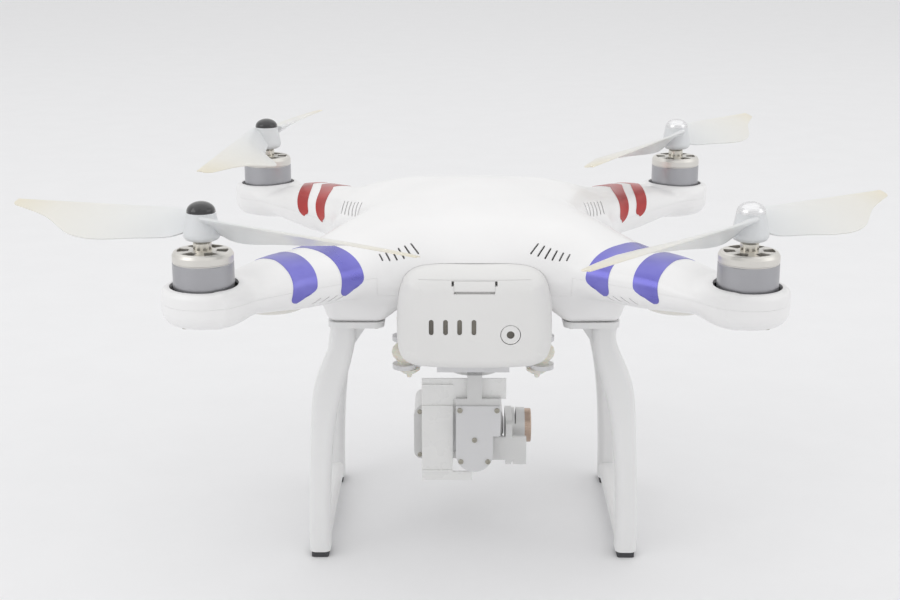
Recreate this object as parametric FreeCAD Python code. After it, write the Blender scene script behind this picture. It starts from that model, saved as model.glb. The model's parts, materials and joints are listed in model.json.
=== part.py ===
import FreeCAD, Part
import math
import os
from FreeCAD import Vector, Matrix

# Quadcopter drone with a gimbal camera. Millimetres, +Z up, +Y is the drone's front.
# The origin is on the ground, midway between the four motor axes.

# ---- Driving dimensions ----

MOTOR_HALF = 123.75        # motor axes stand at x, y = +-MOTOR_HALF (350 mm diagonal)
ARM_REACH = MOTOR_HALF * math.sqrt(2)

SEAM_Z = 157.5             # parting plane between top and bottom shells
HULL_TOP_Z = 188.4
BELLY_Z = 113.5
WALL = 2.0
DOME_R = 82.0
UNDER_DEPTH = 22.0         # how far the underside bulges below the seam at the centre

# Arm sections: distance from centre, half width, top height, underside height
ARM_SECTIONS = [
    (44.0, 38.0, 182.0, 136.0),
    (72.0, 30.0, 176.6, 139.0),
    (100.0, 24.5, 172.2, 141.8),
    (125.0, 20.5, 170.6, 143.8),
    (145.0, 17.5, 168.0, 146.0),
    (159.0, 15.5, 163.6, 148.5),
]

POD_R = 19.5
POD_TOP_Z = 164.5
POD_BOTTOM_Z = 147.0
WELL_R = 15.8
LENS_REACH = 134.0         # distance of each arm light from the centre, along the arm
LENS_HALF = (17.0, 8.5)    # half length along the arm and half width
LENS_RIM_Z = 147.2
LENS_DROP = 5.2
STRIPE_LIFT = 2.5          # lower ends of the arm stripes above the seam
STRIPES = {                # spans along the arm at the ridge, and how far the lower ends lean inwards
    "rear": (((103.5, 117.5), (123.5, 137.0)), 4.5, (225, 315)),
    "front": (((117.0, 129.0), (131.5, 141.0)), 14.0, (45, 135)),
}

TUB_HALF_X = 38.5
TUB_REAR_Y = -57.0
TUB_FRONT_Y = 60.0
TUB_CORNER_R = 12.0

SHOULDER_Z = 129.4         # underside of the hull's four leg roots
SHOULDER_X = 59.0
SHOULDER_Y = 52.0
SHOULDER_SIZE = (28.0, 24.0)
FLANGE_Z = 126.4           # underside of the flange that screws each leg to its root

SKID_FOOT_HALF_Y = 52.0
# Leg outline: height, inner edge x, outer edge x
LEG_SECTIONS = [
    (126.4, 60.0, 73.0),
    (111.0, 61.2, 74.4),
    (99.0, 64.4, 79.6),
    (84.0, 68.6, 82.6),
    (57.0, 72.8, 84.2),
    (29.0, 74.4, 85.2),
    (3.0, 74.6, 85.4),
]
LEG_DEPTH_Y = 14.0
PAD_H = 3.0
PAD_SIZE = (9.0, 17.0)
SKID_BAR_TOP_Z = 13.0

BATTERY_REAR_Y = -90.0
CAP_HALF_X = 38.0
CAP_BOTTOM_Z = 115.0
CAP_TOP_Z = 164.0
CAP_FRONT_Y = -58.0
CAP_CORNER_R = 14.0
CASE_HALF_X = 34.5
CASE_BOTTOM_Z = 117.5
CASE_TOP_Z = 159.5
CASE_FRONT_Y = 52.0
BAY_GAP = 0.6
BUTTON_X = 17.4
BUTTON_Z = 130.8
BUTTON_R = 4.7
LED_X = (-20.9, -14.0, -7.2, -0.3)
LED_Z = 134.5
LATCH_HALF_X = 9.6
LATCH_DROP = 6.2           # top of the latch below the cap's top
LATCH_H = 5.4
LATCH_LIP = 1.5            # thickness of the latch's top plate, which reaches over the board
LATCH_TRAVEL = 1.2
BAY_WALL = 1.2

BELL_R = 14.0
BELL_TOP_Z = 180.8
BELL_BOTTOM_Z = 155.5
BELL_WALL = 1.4
BELL_ROOF = 3.0
STATOR_Z = (157.0, 171.0)
STATOR_R = 11.8
STATOR_TEETH = 12
SLEEVE_R = 4.2             # fixed tube around the shaft that holds the stator
SLEEVE_TOP_Z = 172.5
SHAFT_R = 2.5
SHAFT_FIT = 0.05
HUB_BOTTOM_Z = 185.5
HUB_TOP_Z = 198.4
CAP_R = 6.6                # domed cap that holds the propeller on
CAP_RISE = 4.6
PROP_PITCH = 127.0         # advance per turn, sets the blade twist
PROP_ROOT_PITCH = 44.0     # steepest blade angle, at the hub

# Blade outline out to the tip: distance from the axis, chord, thickness
BLADE_STATIONS = [
    (5.0, 13.0, 3.6),
    (12.0, 15.0, 3.2),
    (22.0, 17.5, 2.6),
    (32.0, 21.5, 2.2),
    (43.0, 26.8, 2.0),
    (53.0, 29.6, 1.8),
    (62.0, 28.8, 1.6),
    (72.0, 24.0, 1.5),
    (84.0, 17.6, 1.3),
    (97.0, 12.8, 1.1),
    (108.0, 9.2, 0.9),
    (113.0, 6.8, 0.8),
    (115.0, 4.2, 0.7),
]

# Blade section: back, tail and belly, as fractions of chord and thickness
BLADE_RIMS = [
    [(0.0, 0.12), (0.08, 0.46), (0.34, 0.80), (0.68, 0.62), (1.0, 0.24)],
    [(1.0, 0.24), (1.0, -0.02)],
    [(1.0, -0.02), (0.68, 0.08), (0.34, -0.02), (0.08, -0.20), (0.0, -0.12)],
    [(0.0, -0.12), (0.0, 0.12)],
]
BLADE_LEAD_Y = 8.2         # leading edge ahead of the axis at the root
BLADE_LEAD_Z = 197.8       # height of the leading edge at the root
BLADE_SWEEP = 0.025        # how fast the leading edge falls back along the blade
BLADE_DROOP = 0.05

GIMBAL_X = 1.0
YAW_Y = 2.0
AXIS_Z = 51.0              # height of the roll axis
PITCH_Z = 48.6             # height of the pitch axis
ROLL_MOTOR_R = 9.7
CROWN_TOP_Z = 73.9
COVER_TOP_Z = 70.2
COVER_STEP_Z = 53.0        # where the roll motor's cover narrows
COVER_ROUND_Z = 42.7
COVER_R = 10.0
PITCH_Y = 11.0
ROLL_REAR_Y = -20.0
CAMERA_HALF_Y = 16.0
CAMERA_HALF_Z = 16.0
CAMERA_Z = 49.4
CAMERA_LEFT_X = -32.0
CAMERA_RIGHT_X = 16.5
CAMERA_EDGE_R = 4.0
CAMERA_CORNER_R = 6.0
GUARD_LEFT_X = -27.4
GUARD_RIGHT_X = 18.0
GUARD_TOP_Z = 84.4         # stays below the yaw motor's boom
GUARD_BOTTOM_Z = 26.2
GUARD_RIB_Z = (80.0, 68.0, 31.0)
UPPER_PLATE_Z = (111.0, BELLY_Z)
LOWER_PLATE_Z = (95.8, 98.2)
EAR_R = 6.2                # corner ears of both plates, one per damper
DAMPER_X = 36.0
DAMPER_Y = 32.0
YAW_MOTOR_Z = 84.8         # underside of the yaw motor's cup
YAW_CUP_R = 14.0
YAW_BOSS_R = 9.0
CROWN_REACH = 14.0         # how far the crown and cover run to the right of the roll axis

# Motor name, x sign, y sign, resting angle of a blade, turning sense seen from above
MOTORS = [
    ("rear_left", -1, -1, 151.0, "cw"),
    ("rear_right", 1, -1, 44.0, "ccw"),
    ("front_left", -1, 1, 80.5, "cw"),
    ("front_right", 1, 1, 57.0, "ccw"),
]

X_AXIS = Vector(1, 0, 0)
Y_AXIS = Vector(0, 1, 0)
Z_AXIS = Vector(0, 0, 1)

parts = {}


# ---- Helpers ----

def box(x0, x1, y0, y1, z0, z1):
    return Part.makeBox(x1 - x0, y1 - y0, z1 - z0, Vector(x0, y0, z0))


def cyl(x, y, z0, z1, r):
    return Part.makeCylinder(r, z1 - z0, Vector(x, y, z0))


def cyl_y(x, z, y0, y1, r):
    return Part.makeCylinder(r, y1 - y0, Vector(x, y0, z), Y_AXIS)


def cyl_x(y, z, x0, x1, r):
    return Part.makeCylinder(r, x1 - x0, Vector(x0, y, z), X_AXIS)


def moved(shape, x=0.0, y=0.0, z=0.0):
    copy = shape.copy()
    copy.translate(Vector(x, y, z))
    return copy


def turned(shape, angle, axis=Z_AXIS, centre=Vector(0, 0, 0)):
    copy = shape.copy()
    copy.rotate(centre, axis, angle)
    return copy


def mirror_x(shape):
    return shape.mirror(Vector(0, 0, 0), X_AXIS)


def mirror_y(shape):
    return shape.mirror(Vector(0, 0, 0), Y_AXIS)


def revolve(points, x=0.0, y=0.0):
    """Solid of revolution about a vertical axis at x, y; points are (radius, z)."""
    wire = Part.makePolygon([Vector(r, 0, z) for r, z in points + points[:1]])
    solid = Part.Face(wire).revolve(Vector(0, 0, 0), Z_AXIS, 360)
    return moved(solid, x, y)


def half_ellipse_wire(half_w, height, to_place):
    """Closed wire: half ellipse standing on its flat side, in a plane facing +X."""
    arc = Part.Arc(Vector(0, -1, 0), Vector(0, 0, 1), Vector(0, 1, 0))
    scale = Matrix()
    scale.scale(Vector(1, half_w, height))
    edge = arc.toShape().transformGeometry(scale)
    chord = Part.makeLine(Vector(0, half_w, 0), Vector(0, -half_w, 0))
    wire = Part.Wire([edge, chord])
    wire.translate(to_place)
    return wire


def rounded_rect(half_a, half_b, r):
    """Corner-rounded rectangle wire about the origin, in the XY plane."""
    pts = []
    edges = []
    for k, (sa, sb) in enumerate([(1, 1), (-1, 1), (-1, -1), (1, -1)]):
        c = Vector(sa * (half_a - r), sb * (half_b - r), 0)
        a0 = math.radians(90 * k)
        a1 = a0 + math.pi / 2
        am = a0 + math.pi / 4
        p0 = c + Vector(math.cos(a0), math.sin(a0), 0) * r
        pm = c + Vector(math.cos(am), math.sin(am), 0) * r
        p1 = c + Vector(math.cos(a1), math.sin(a1), 0) * r
        pts.append((p0, p1))
        edges.append(Part.Arc(p0, pm, p1).toShape())
    for k in range(4):
        edges.append(Part.makeLine(pts[k][1], pts[(k + 1) % 4][0]))
    return Part.Wire(Part.__sortEdges__(edges))


def slab_z(x, y, z0, z1, half_x, half_y, r):
    """Rounded-corner plate with vertical sides."""
    face = Part.Face(rounded_rect(half_x, half_y, r))
    return moved(face.extrude(Vector(0, 0, z1 - z0)), x, y, z0)


def slab_y(x, z, y0, y1, half_x, half_z, r):
    """Rounded-corner block, its outline seen along Y."""
    block = turned(slab_z(0, 0, 0, y1 - y0, half_x, half_z, r), 90, X_AXIS)
    return moved(block, x, y1, z)


def slab_x(y, z, x0, x1, half_y, half_z, r):
    """Rounded-corner block, its outline seen along X."""
    block = turned(slab_z(0, 0, 0, x1 - x0, half_z, half_y, r), 90, Y_AXIS)
    return moved(block, x0, y, z)


def fuse(shapes):
    return shapes[0].multiFuse(shapes[1:]).removeSplitter()


def group(shapes):
    return Part.makeCompound(shapes)


def pan_screw(x, y, z, direction, head_r=1.6, head_h=0.9, shank_r=0.8, shank=3.0):
    """Pan-head screw; the head's underside is at x, y, z and it stands along direction."""
    head = Part.makeCylinder(head_r, head_h, Vector(0, 0, 0))
    head = head.makeFillet(head_h * 0.45, [head.Edges[0]])
    shank_solid = Part.makeCylinder(shank_r, shank, Vector(0, 0, -shank))
    cross = []
    for angle in (0, 90):
        bar = box(-head_r * 0.62, head_r * 0.62, -0.18, 0.18, head_h * 0.45, head_h * 2)
        cross.append(turned(bar, angle))
    screw = head.fuse(shank_solid).cut(cross[0].fuse(cross[1]))
    screw.Placement = FreeCAD.Placement(Vector(x, y, z), FreeCAD.Rotation(Z_AXIS, direction))
    return screw


# ---- Hull shells ----

def arm(inset, upper):
    """One arm half, along +X, from inside the dome to the motor pod."""
    wires = []
    for u, half_w, top, under in ARM_SECTIONS:
        height = (top - SEAM_Z if upper else SEAM_Z - under) - inset
        wires.append(half_ellipse_wire(half_w - inset, height, Vector(u, 0, 0)))
    solid = Part.makeLoft(wires, True, False)
    if not upper:
        solid = solid.mirror(Vector(0, 0, 0), Z_AXIS)
    return moved(solid, 0, 0, SEAM_Z)


def dome(inset, upper):
    """Central body: half an ellipsoid over or under the seam."""
    ball = Part.makeSphere(1.0, Vector(0, 0, 0), Z_AXIS, 0, 90, 360)
    scale = Matrix()
    depth = HULL_TOP_Z - SEAM_Z if upper else UNDER_DEPTH
    scale.scale(Vector(DOME_R - inset, DOME_R - inset, depth - inset))
    solid = ball.transformGeometry(scale)
    if not upper:
        solid = solid.mirror(Vector(0, 0, 0), Z_AXIS)
    return moved(solid, 0, 0, SEAM_Z)


def pod(inset, upper):
    """Round motor pod at the end of an arm."""
    reach = POD_TOP_Z - SEAM_Z if upper else SEAM_Z - POD_BOTTOM_Z
    r = POD_R - inset
    h = reach - inset
    soft = h * (0.5 if upper else 0.75)
    solid = Part.makeCylinder(r, h)
    solid = solid.makeFillet(soft, [solid.Edges[0]])
    if not upper:
        solid = solid.mirror(Vector(0, 0, 0), Z_AXIS)
    return moved(solid, ARM_REACH, 0, SEAM_Z)


def hull_half(inset, upper):
    limbs = [dome(inset, upper)]
    for k in range(4):
        angle = 45 + 90 * k
        limbs.append(turned(arm(inset, upper), angle))
        limbs.append(turned(pod(inset, upper), angle))
    return fuse(limbs)


def tub(inset):
    """Belly of the hull that the battery bay stands in; its inner space is open at the rear."""
    half_z = (SEAM_Z + 8 - BELLY_Z) / 2
    mid_z = BELLY_Z + half_z
    body = slab_y(0, mid_z, TUB_REAR_Y - inset, TUB_FRONT_Y - inset,
                  TUB_HALF_X - inset, half_z - inset, TUB_CORNER_R - inset * 0.9)
    below_seam = box(-60, 60, -80, 80, BELLY_Z - 5, SEAM_Z)
    return body.common(below_seam)


def shoulder(inset, sx, sy):
    """Hollow root that a landing leg is screwed to."""
    sections = []
    for z, shift, grow in ((SHOULDER_Z + inset, 0, 0), (SHOULDER_Z + 8, 2, 3), (SEAM_Z - 8, 9, 15)):
        wire = rounded_rect(SHOULDER_SIZE[0] / 2 + grow - inset, SHOULDER_SIZE[1] / 2 + grow - inset, 5)
        wire.translate(Vector(SHOULDER_X - shift, SHOULDER_Y - shift, z))
        sections.append(wire)
    solid = Part.makeLoft(sections, True, False)
    if sx < 0:
        solid = mirror_x(solid)
    if sy < 0:
        solid = mirror_y(solid)
    return solid


def lens_form(unit, grow):
    """Shape of unit radius stretched to the oval of an arm light on the +X arm."""
    scale = Matrix()
    scale.scale(Vector(LENS_HALF[0] + grow, LENS_HALF[1] + grow, LENS_DROP))
    return moved(unit.transformGeometry(scale), LENS_REACH, 0, LENS_RIM_Z)


def corners():
    return [(sx, sy) for sx in (-1, 1) for sy in (-1, 1)]


def cap_prism(grow, y0, y1):
    """Outline of the battery's rear end, run along Y."""
    half_z = (CAP_TOP_Z - CAP_BOTTOM_Z) / 2
    return slab_y(0, CAP_BOTTOM_Z + half_z, y0, y1, CAP_HALF_X + grow, half_z + grow, CAP_CORNER_R + grow)


def vent_cutters(sy, count):
    """Slanted cooling slots where each arm leaves the dome."""
    cutters = []
    for sx in (-1, 1):
        for k in range(count):
            slot = box(-0.6, 0.6, -5 + 0.4 * k, 5 - 0.4 * k, -12, 12)
            slot = turned(slot, sx * sy * 24)
            cutters.append(moved(slot, sx * (30 + 4.6 * k), sy * (56 + 0.8 * k), 178))
    return cutters


def make_hull():
    openings = [cap_prism(BAY_GAP, BATTERY_REAR_Y - 10, TUB_REAR_Y)]
    for sx, sy in corners():
        openings.append(cyl(sx * MOTOR_HALF, sy * MOTOR_HALF, POD_BOTTOM_Z + WALL + 2, HULL_TOP_Z, WELL_R))
    top = hull_half(0, True).cut(hull_half(WALL, True))
    parts["top_shell"] = top.cut(group(openings + vent_cutters(-1, 6) + vent_cutters(1, 5)))

    outer = [hull_half(0, False), tub(0)]
    inner = [hull_half(WALL, False), tub(WALL)]
    for sx, sy in corners():
        outer.append(shoulder(0, sx, sy))
        inner.append(shoulder(WALL, sx, sy))
    slots = []
    for k in range(4):
        for j in range(4):
            slot = turned(box(-3.5, 3.5, -0.6, 0.6, -8, 8), 40)
            slot = moved(slot, 98 + 4.4 * j, 0, 144)
            slots.append(turned(slot, 45 + 90 * k))
    lens_hole = lens_form(Part.makeCylinder(1, 6, Vector(0, 0, -5)), 0.1)
    lens_holes = [turned(lens_hole, 45 + 90 * k) for k in range(4)]
    bottom = fuse(outer).cut(fuse(inner)).cut(group(openings[:1] + slots + lens_holes))
    parts["bottom_shell"] = bottom

    screws = []
    for sx, sy in corners():
        for at in (MOTOR_HALF - 8, MOTOR_HALF + 8):
            screws.append(pan_screw(sx * at, sy * at, POD_BOTTOM_Z, Vector(0, 0, -1), shank=2.2))
    parts["hull_screws"] = group(screws)



def make_arm_lights():
    ball = Part.makeSphere(1, Vector(0, 0, 0), Z_AXIS, -90, 0, 360)
    bulge = lens_form(ball, 0)
    rim = lens_form(Part.makeCylinder(1, 0.3), 0)
    lens = bulge.fuse(rim)
    parts["arm_light_lenses"] = group([turned(lens, 45 + 90 * k) for k in range(4)])


def make_stripes():
    """Thin metallic bands that wrap the upper side of the arms."""
    skin = arm(-0.35, True).cut(arm(0, True))
    low = SEAM_Z + STRIPE_LIFT
    for end, (spans, lean, angles) in STRIPES.items():
        bands = []
        for u0, u1 in spans:
            outline = [Vector(u0, -40, HULL_TOP_Z), Vector(u1, -40, HULL_TOP_Z),
                       Vector(u1 - lean, -40, low), Vector(u0 - lean, -40, low)]
            slice_of_arm = Part.Face(Part.makePolygon(outline + outline[:1])).extrude(Vector(0, 80, 0))
            bands.append(skin.common(slice_of_arm))
        parts[f"{end}_arm_stripes"] = group([turned(band, angle) for angle in angles for band in bands])


# ---- Landing gear ----

def make_skids():
    legs = []
    for sy in (-1, 1):
        wires = []
        for z, inner, outer in LEG_SECTIONS:
            wire = rounded_rect((outer - inner) / 2, LEG_DEPTH_Y / 2, 3.5)
            wire.translate(Vector((inner + outer) / 2, sy * SKID_FOOT_HALF_Y, z))
            wires.append(wire)
        legs.append(Part.makeLoft(wires, True, False))
        flange = slab_z(SHOULDER_X, sy * SHOULDER_Y, FLANGE_Z, SHOULDER_Z,
                        SHOULDER_SIZE[0] / 2, SHOULDER_SIZE[1] / 2, 5)
        legs.append(flange)
        web = Part.makePolygon([Vector(61, 0, FLANGE_Z), Vector(53, 0, FLANGE_Z), Vector(62, 0, 113),
                                Vector(66, 0, 113), Vector(61, 0, FLANGE_Z)])
        web = Part.Face(web).extrude(Vector(0, 3, 0))
        legs.append(moved(web, 0, sy * SKID_FOOT_HALF_Y - 1.5))
    bar_x = (LEG_SECTIONS[-1][1] + LEG_SECTIONS[-1][2]) / 2
    half_bar = (LEG_SECTIONS[-1][2] - LEG_SECTIONS[-1][1]) / 2 - 0.4
    bar_z = (SKID_BAR_TOP_Z + PAD_H + 1) / 2
    bar = slab_y(bar_x, bar_z, -SKID_FOOT_HALF_Y, SKID_FOOT_HALF_Y, half_bar,
                 (SKID_BAR_TOP_Z - PAD_H - 1) / 2, 3)
    right = fuse(legs + [bar])
    parts["right_skid"] = right
    parts["left_skid"] = mirror_x(right)
    pads = []
    screws = []
    for sx, sy in corners():
        pads.append(slab_z(sx * bar_x, sy * SKID_FOOT_HALF_Y, 0, PAD_H,
                           PAD_SIZE[0] / 2, PAD_SIZE[1] / 2 - 2, 1.5))
        for dx, dy in ((-10, -8), (-10, 8)):
            screws.append(pan_screw(sx * (SHOULDER_X + dx), sy * (SHOULDER_Y + dy), FLANGE_Z,
                                    Vector(0, 0, -1), shank=5.0))
    parts["foot_pads"] = group(pads)
    parts["skid_screws"] = group(screws)


# ---- Battery and electronics ----

def make_battery():
    cap = cap_prism(0, BATTERY_REAR_Y, CAP_FRONT_Y)
    rear_edges = [e for e in cap.Edges if abs(e.BoundBox.YMax - BATTERY_REAR_Y) < 0.01]
    cap = cap.makeFillet(7.0, rear_edges)
    hollow = cap_prism(-2.2, BATTERY_REAR_Y + 2.5, CAP_FRONT_Y + 1)
    cap = cap.cut(hollow)
    button_hole = cyl_y(BUTTON_X, BUTTON_Z, BATTERY_REAR_Y - 1, BATTERY_REAR_Y + 6, BUTTON_R + 0.3)
    led_holes = []
    lenses = []
    for x in LED_X:
        led_holes.append(slab_y(x, LED_Z, BATTERY_REAR_Y - 1, BATTERY_REAR_Y + 6, 1.1, 3.8, 1.05))
        lenses.append(slab_y(x, LED_Z, BATTERY_REAR_Y + 0.5, BATTERY_REAR_Y + 4.0, 1.05, 3.75, 1.0))
    latch_top = CAP_TOP_Z - LATCH_DROP
    latch_gap = slab_y(0, latch_top - LATCH_H / 2 - 0.3, BATTERY_REAR_Y - 1, BATTERY_REAR_Y + 12,
                       LATCH_HALF_X + 0.5, LATCH_H / 2 + 1.6, 0.8)
    parts["battery_rear_cap"] = cap.cut(group(led_holes + [button_hole, latch_gap]))
    parts["battery_led_lenses"] = group(lenses)

    latch = cap_prism(-0.2, BATTERY_REAR_Y + 0.3, BATTERY_REAR_Y + 11.4)
    latch_edges = [e for e in latch.Edges if abs(e.BoundBox.YMax - BATTERY_REAR_Y - 0.3) < 0.01]
    latch = latch.makeFillet(6.8, latch_edges)
    latch = latch.common(box(-LATCH_HALF_X, LATCH_HALF_X, -100, 0, latch_top - LATCH_H, latch_top))
    latch = latch.cut(box(-20, 20, BATTERY_REAR_Y + 6, 0, 100, latch_top - LATCH_LIP))
    parts["battery_latch"] = latch

    button = cyl_y(BUTTON_X, BUTTON_Z, BATTERY_REAR_Y, BATTERY_REAR_Y + 5, BUTTON_R)
    rim = [e for e in button.Edges if abs(e.BoundBox.YMax - BATTERY_REAR_Y) < 0.01]
    button = button.makeFillet(0.5, rim)
    lamp_hole = cyl_y(BUTTON_X, BUTTON_Z, BATTERY_REAR_Y - 1, BATTERY_REAR_Y + 2.5, 1.9)
    parts["power_button"] = button.cut(lamp_hole)
    parts["power_button_lamp"] = cyl_y(BUTTON_X, BUTTON_Z,
                                       BATTERY_REAR_Y + 0.3, BATTERY_REAR_Y + 2.5, 1.85)

    half_z = (CASE_TOP_Z - CASE_BOTTOM_Z) / 2
    mid_z = (CASE_TOP_Z + CASE_BOTTOM_Z) / 2
    case = slab_y(0, mid_z, CAP_FRONT_Y, CASE_FRONT_Y, CASE_HALF_X, half_z, 8)
    room = slab_y(0, mid_z, CAP_FRONT_Y - 1, CASE_FRONT_Y - 1.5, CASE_HALF_X - 1.5, half_z - 1.5, 6.5)
    parts["battery_case"] = case.cut(room)
    cells = []
    cell_w = 15.0
    for k in range(4):
        x = (k - 1.5) * (cell_w + 0.8)
        cells.append(slab_y(x, mid_z, -54, 44, cell_w / 2, half_z - 3.5, 1.5))
    parts["battery_cells"] = group(cells)
    board_top = latch_top - LATCH_LIP - LATCH_TRAVEL - 0.6
    board = box(-30, 30, -80, -78.4, 121, board_top)
    holder = cyl_y(BUTTON_X, BUTTON_Z, -82, -80, 3.0)
    plug = box(-14, 14, -78.4, -70, 130, 140)
    parts["battery_board"] = fuse([board, holder, plug])


def make_bay_and_boards():
    half_z = (CASE_TOP_Z - CASE_BOTTOM_Z) / 2 + BAY_GAP
    mid_z = (CASE_TOP_Z + CASE_BOTTOM_Z) / 2
    half_x = CASE_HALF_X + BAY_GAP
    front = CASE_FRONT_Y + 1.0
    outer = slab_y(0, mid_z, TUB_REAR_Y + 1, front + BAY_WALL,
                   half_x + BAY_WALL, half_z + BAY_WALL, 9.5)
    inner = slab_y(0, mid_z, TUB_REAR_Y - 1, front, half_x, half_z, 8.4)
    parts["battery_bay"] = outer.cut(inner)
    bay_top = mid_z + half_z + BAY_WALL

    board = slab_z(0, 0, bay_top, bay_top + 1.6, 30, 42, 4)
    chips = [box(-24, -6, -34, -16, bay_top + 1, bay_top + 4),
             box(6, 20, -30, -16, bay_top + 1, bay_top + 4)]
    for sx, sy in corners():
        chips.append(box(sx * 22 - 5, sx * 22 + 5, sy * 32 - 4, sy * 32 + 4, bay_top + 1, bay_top + 5))
    parts["main_board"] = fuse([board] + chips)

    gps_z = bay_top + 1.6
    gps_y = 8
    legs = []
    for sx, sy in corners():
        x = sx * 14
        y = gps_y + sy * 14
        legs.append(box(x - 2, x + 2, y - 2, y + 2, gps_z, gps_z + 8))
    plate = slab_z(0, gps_y, gps_z + 8, gps_z + 9.6, 18, 18, 3)
    patch = slab_z(0, gps_y, gps_z + 9.6, gps_z + 14, 12.5, 12.5, 1)
    parts["gps_module"] = fuse(legs + [plate, patch])

    parts["battery_terminal"] = box(-15, 15, front + BAY_WALL, TUB_FRONT_Y - WALL - 0.3, 128, 146)


# ---- Motors and propellers ----

def motor_base():
    floor = POD_BOTTOM_Z + WALL
    bore = SHAFT_R + SHAFT_FIT
    base = revolve([(bore, floor), (10.6, floor), (12.6, floor + 1.2), (12.6, floor + 2.5),
                    (10.0, floor + 4.5), (SLEEVE_R, floor + 5.0), (SLEEVE_R, SLEEVE_TOP_Z),
                    (bore, SLEEVE_TOP_Z)])
    windows = []
    for k in range(6):
        windows.append(turned(moved(cyl(0, 0, floor - 1, floor + 6, 1.3), 7.4), 60 * k))
    return base.cut(group(windows))


def stator():
    low, high = STATOR_Z
    teeth = [cyl(0, 0, low, high, 6.4)]
    for k in range(STATOR_TEETH):
        tooth = box(5.8, 11.2, -0.9, 0.9, low, high)
        shoe = box(10.4, 11.6, -2.3, 2.3, low, high)
        teeth.append(turned(tooth.fuse(shoe), 360 / STATOR_TEETH * k))
    solid = fuse(teeth).cut(cyl(0, 0, low - 1, high + 1, SLEEVE_R))
    return solid.common(cyl(0, 0, low - 1, high + 1, STATOR_R))


def windings():
    low, high = STATOR_Z
    coils = []
    for k in range(STATOR_TEETH):
        coil = box(7.4, 10.1, -1.7, 1.7, low - 1.1, high + 1.1)
        coil = coil.cut(box(7.0, 10.4, -0.95, 0.95, low - 0.1, high + 0.1))
        coils.append(turned(coil, 360 / STATOR_TEETH * k))
    return coils


def bell():
    inner = BELL_R - BELL_WALL
    ceiling = BELL_TOP_Z - BELL_ROOF
    body = revolve([(SHAFT_R, ceiling), (inner, ceiling), (inner, BELL_BOTTOM_Z), (BELL_R, BELL_BOTTOM_Z),
                    (BELL_R, BELL_TOP_Z - 5.6), (BELL_R - 0.3, BELL_TOP_Z - 5.3),
                    (BELL_R - 0.3, BELL_TOP_Z - 4.9),
                    (BELL_R, BELL_TOP_Z - 4.6), (BELL_R, BELL_TOP_Z - 1.8), (13.3, BELL_TOP_Z - 0.5),
                    (12.4, BELL_TOP_Z), (SHAFT_R, BELL_TOP_Z)])
    windows = []
    for k in range(6):
        window = Part.makeCylinder(11.6, 8, Vector(0, 0, BELL_TOP_Z - 5), Z_AXIS, 34)
        window = window.cut(cyl(0, 0, 170, 190, 6.4))
        windows.append(turned(window, 60 * k - 17))
    return body.cut(group(windows))


def shaft():
    return revolve([(0, 151.0), (SHAFT_R, 151.0), (SHAFT_R, BELL_TOP_Z), (4.25, BELL_TOP_Z), (4.25, 184.3),
                    (3.6, HUB_BOTTOM_Z), (SHAFT_R, HUB_BOTTOM_Z), (SHAFT_R, HUB_TOP_Z), (0, HUB_TOP_Z)])


def blade():
    """Right-handed blade along +X: its leading edge faces +Y and it turns anticlockwise."""
    wires = []
    for r, chord, thick in BLADE_STATIONS:
        pitch = min(math.atan(PROP_PITCH / (2 * math.pi * r)), math.radians(PROP_ROOT_PITCH))
        lead_y = BLADE_LEAD_Y - BLADE_SWEEP * r
        lead_z = BLADE_LEAD_Z - BLADE_DROOP * r
        along = Vector(0, -math.cos(pitch), -math.sin(pitch))
        normal = Vector(0, -math.sin(pitch), math.cos(pitch))
        nose = Vector(r, lead_y, lead_z)
        edges = []
        for rim in BLADE_RIMS:
            pts = [nose + along * (chord * a) + normal * (thick * b) for a, b in rim]
            curve = Part.BSplineCurve()
            curve.interpolate(pts)
            edges.append(curve.toShape())
        wires.append(Part.Wire(edges))
    solid = Part.makeLoft(wires, True, False)
    if solid.Volume < 0:
        solid.reverse()
    return solid


def propeller():
    hub = revolve([(SHAFT_R, HUB_BOTTOM_Z), (6.0, HUB_BOTTOM_Z), (7.6, 186.2), (8.4, 187.4),
                   (8.5, 188.8), (8.0, 191.5), (7.0, 196.4), (6.7, HUB_TOP_Z), (SHAFT_R, HUB_TOP_Z)])
    first = blade()
    prop = fuse([hub, first, turned(first, 180)])
    return prop.cut(cyl(0, 0, 180, 205, SHAFT_R))


def prop_cap():
    base = HUB_TOP_Z
    points = [(0, base), (CAP_R, base), (CAP_R, base + 0.4)]
    for k in range(1, 10):
        a = math.radians(10 * k)
        points.append((CAP_R * math.cos(a), base + 0.4 + CAP_RISE * math.sin(a)))
    points[-1] = (0, base + 0.4 + CAP_RISE)
    return revolve(points)


def make_motors():
    base = motor_base()
    core = stator()
    coils = windings()
    turning = {"bell": bell(), "shaft": shaft(), "prop_cap": prop_cap()}
    prop = {"ccw": propeller()}
    prop["cw"] = prop["ccw"].mirror(Vector(0, 0, 0), Y_AXIS)
    bases = []
    stators = []
    copper = []
    for name, sx, sy, angle, sense in MOTORS:
        x = sx * MOTOR_HALF
        y = sy * MOTOR_HALF
        bases.append(moved(base, x, y))
        stators.append(moved(core, x, y))
        copper.extend(moved(coil, x, y) for coil in coils)
        for piece, shape in turning.items():
            parts[f"{name}_{piece}"] = moved(shape, x, y)
        parts[f"{name}_propeller"] = moved(turned(prop[sense], angle), x, y)
    parts["motor_bases"] = group(bases)
    parts["motor_stators"] = group(stators)
    parts["motor_windings"] = group(copper)


# ---- Gimbal ----

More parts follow.
